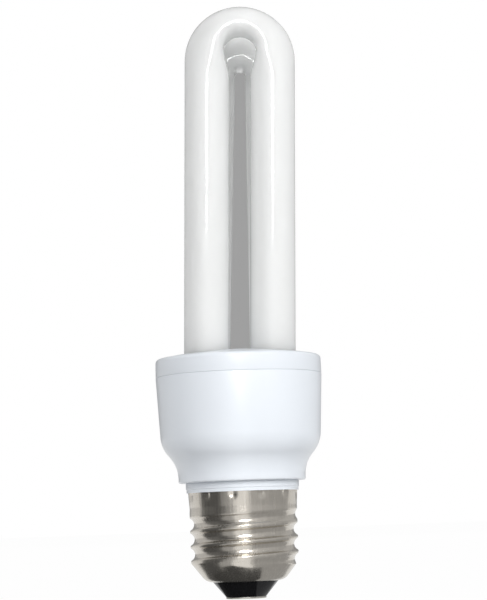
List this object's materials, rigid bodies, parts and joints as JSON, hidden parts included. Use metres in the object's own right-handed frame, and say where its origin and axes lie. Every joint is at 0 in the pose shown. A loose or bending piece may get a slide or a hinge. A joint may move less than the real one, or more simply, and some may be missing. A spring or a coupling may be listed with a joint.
{
  "type": "u shaped fluorescent bulb",
  "caption": "Compact fluorescent lamp: two white U tubes on a round ballast housing with an Edison screw cap.",
  "frame": {"origin": "middle of the centre contact's lower face, where the lamp touches a socket's contact and where it rests upright", "axes": "+Z from the screw cap to the glass; +X to the right of someone who faces the front U, which is at -Y"},
  "size_m": [0.0406, 0.0406, 0.144],
  "materials": {
    "white_glass": "gloss",
    "white_plastic": "satin",
    "nickel_plate": "satin",
    "black_glass": "gloss",
    "contact_metal": "satin",
    "solder": "satin",
    "cement": "matte",
    "board_laminate": "matte",
    "ferrite": "matte",
    "bobbin_plastic": "matte",
    "enamelled_wire": "gloss",
    "capacitor_sleeve": "gloss",
    "film_case": "gloss",
    "resistor_body": "matte",
    "chip_ceramic": "matte",
    "black_epoxy": "matte",
    "diac_glass": "gloss",
    "wire_sleeve": "gloss",
    "tinned_wire": "satin"
  },
  "bodies": {
    "root": {"ballast_housing": "white_plastic", "base_resistor_left": "chip_ceramic", "base_resistor_right": "chip_ceramic", "bridge_rectifier": "black_epoxy", "cap_insulator": "black_glass", "centre_contact": "contact_metal", "choke_bobbin": "bobbin_plastic", "choke_core_back": "ferrite", "choke_core_front": "ferrite", "choke_pin_1": "tinned_wire", "choke_pin_2": "tinned_wire", "choke_pin_3": "tinned_wire", "choke_pin_4": "tinned_wire", "choke_winding": "enamelled_wire", "circuit_board": "board_laminate", "contact_solder": "solder", "coupling_capacitor": "film_case", "discharge_tube": "white_glass", "emitter_resistor_left": "chip_ceramic", "emitter_resistor_right": "chip_ceramic", "filament_lead_1": "tinned_wire", "filament_lead_2": "tinned_wire", "filament_lead_3": "tinned_wire", "filament_lead_4": "tinned_wire", "fusible_resistor": "resistor_body", "live_wire": "wire_sleeve", "neutral_wire": "tinned_wire", "reservoir_capacitor": "capacitor_sleeve", "resonant_capacitor": "film_case", "ring_core": "ferrite", "ring_winding_1": "enamelled_wire", "ring_winding_2": "enamelled_wire", "ring_winding_3": "enamelled_wire", "screw_shell": "nickel_plate", "start_resistor": "chip_ceramic", "transistor_left": "black_epoxy", "transistor_right": "black_epoxy", "trigger_diac": "diac_glass", "tube_cement": "cement", "tube_cover": "white_plastic", "wrap_pin_1": "tinned_wire", "wrap_pin_2": "tinned_wire", "wrap_pin_3": "tinned_wire", "wrap_pin_4": "tinned_wire"}
  },
  "joints": []
}
